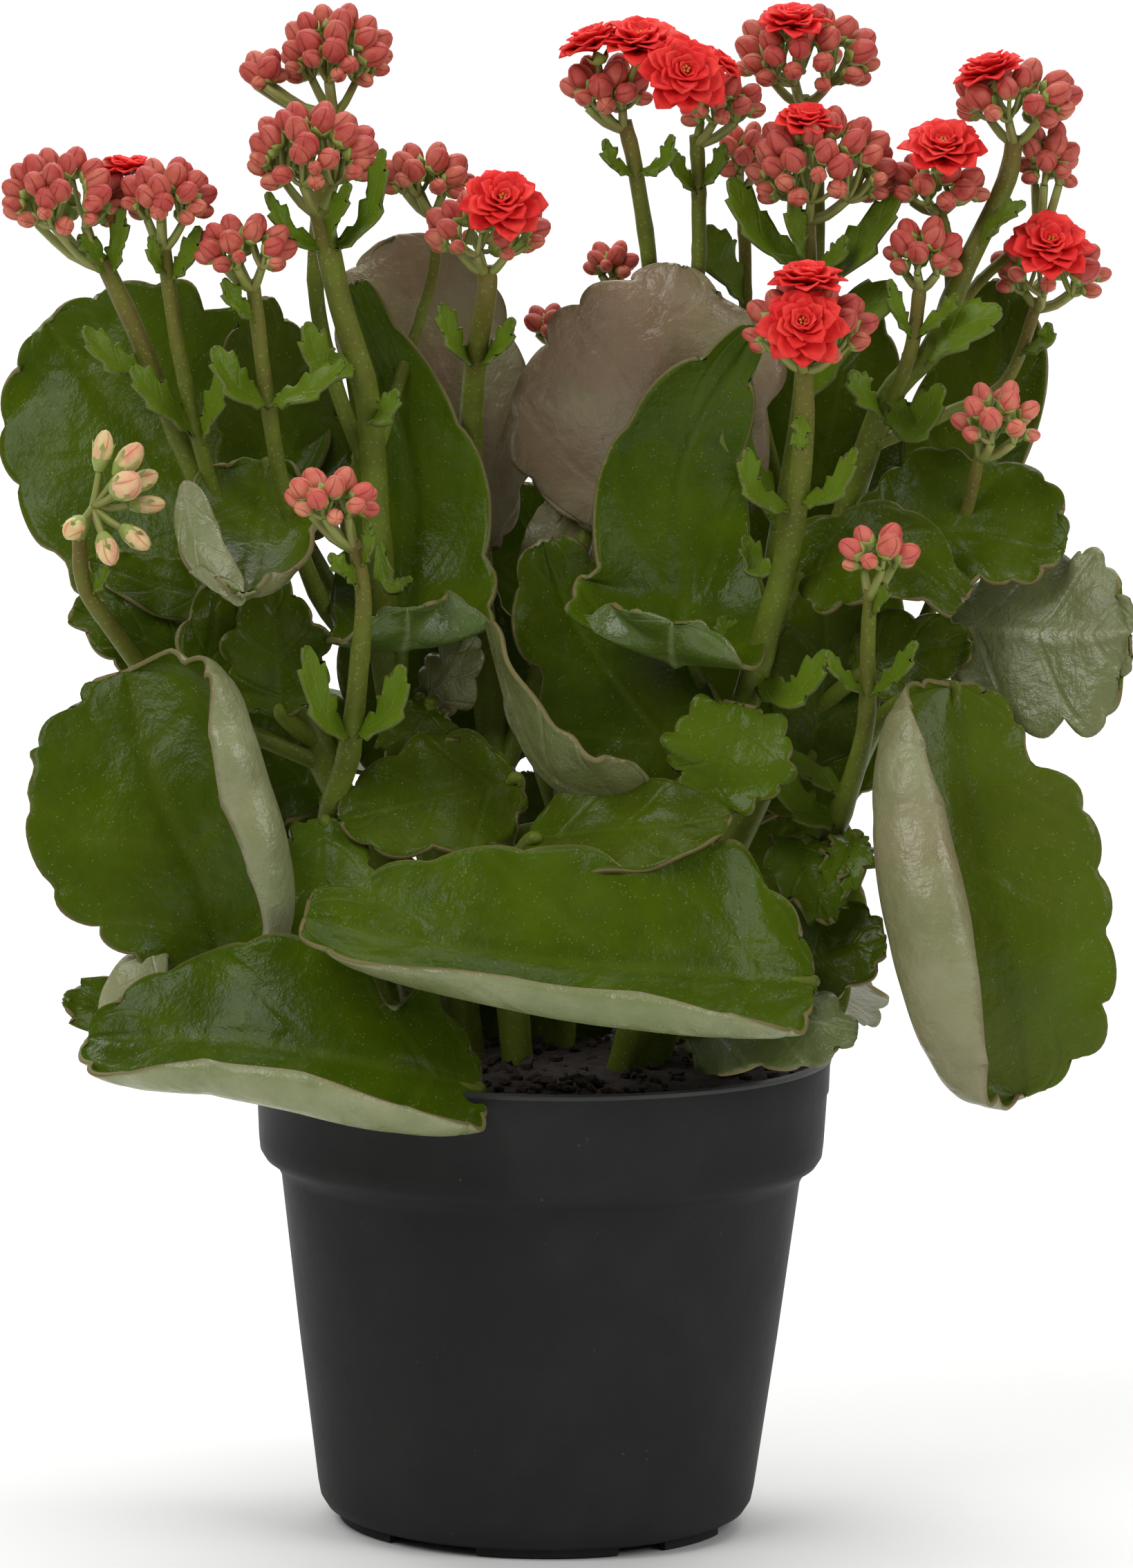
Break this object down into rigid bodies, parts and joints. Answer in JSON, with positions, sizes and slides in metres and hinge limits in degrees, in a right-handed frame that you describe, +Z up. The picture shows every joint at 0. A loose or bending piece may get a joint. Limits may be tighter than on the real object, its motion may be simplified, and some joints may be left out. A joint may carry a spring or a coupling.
{
  "type": "potted double-flowered flaming katy",
  "caption": "Bushy succulent house plant with scalloped fleshy leaves and heads of double red flowers, growing in a round black nursery pot.",
  "frame": {"origin": "on the surface the pot stands on, at the pot's axis, which is also the middle of the plant's outline seen from above", "axes": "+Z up along the pot's axis, -Y towards the side seen in front, +X to the right as seen from the front"},
  "size_m": [0.2344, 0.1686, 0.3165],
  "materials": {
    "pot_plastic": "matte black moulded plastic with a glossier rim",
    "potting_soil": "dark damp peat with fine crumbs",
    "stem_green": "fleshy olive-green stalk with fine pale speckles",
    "leaf_green": "glossy dark green succulent leaf with a thin reddish rim",
    "petal_red": "soft satin scarlet petal",
    "bud_coral": "satin coral-red bud",
    "bud_pale": "satin cream-yellow bud"
  },
  "bodies": {
    "root": {"pot": "pot_plastic", "soil": "potting_soil", "shoot_left": "stem_green", "shoot_rose_left": "stem_green", "shoot_centre": "stem_green", "shoot_right_inner": "stem_green", "shoot_right_outer": "stem_green", "shoot_front_right": "stem_green", "shoot_low_right": "stem_green", "shoot_low_left": "stem_green", "shoot_back": "stem_green", "leaf_back_left": "leaf_green", "leaf_cup_left": "leaf_green", "leaf_tall_left": "leaf_green", "leaf_brown_left": "leaf_green", "leaf_funnel_back": "leaf_green", "leaf_funnel": "leaf_green", "leaf_dark_centre": "leaf_green", "leaf_folded_centre": "leaf_green", "leaf_front_boat": "leaf_green", "leaf_lower_left": "leaf_green", "leaf_over_rim_left": "leaf_green", "leaf_right_hanging": "leaf_green", "leaf_far_right": "leaf_green", "leaf_right_upper": "leaf_green", "bloom_centre_left": "petal_red", "bloom_left": "petal_red", "blooms_centre_right": "petal_red", "bloom_top_right": "petal_red", "bloom_right_inner": "petal_red", "bloom_right": "petal_red", "bloom_far_right": "petal_red", "bloom_right_edge": "petal_red", "blooms_front_right": "petal_red", "head_far_left": "bud_coral", "head_left": "bud_coral", "head_third_left": "bud_coral", "head_top_left": "bud_coral", "head_rose_left": "bud_coral", "head_small_left": "bud_coral", "head_centre_left": "bud_coral", "head_low_left": "bud_coral", "head_centre_right": "bud_coral", "head_centre_right_b": "bud_coral", "head_top_right": "bud_coral", "head_right_inner": "bud_coral", "head_right_small": "bud_coral", "head_far_right": "bud_coral", "head_far_right_low": "bud_coral", "head_right_edge": "bud_coral", "head_right_mid": "bud_coral", "head_front_right": "bud_coral", "head_low_right_back": "bud_coral", "head_low_right": "bud_coral", "head_back_small": "bud_coral", "head_back_twig": "bud_coral", "head_behind_right": "bud_coral", "head_back_left": "bud_coral", "head_back_right": "bud_coral", "head_pale_left": "bud_pale"}
  },
  "joints": []
}
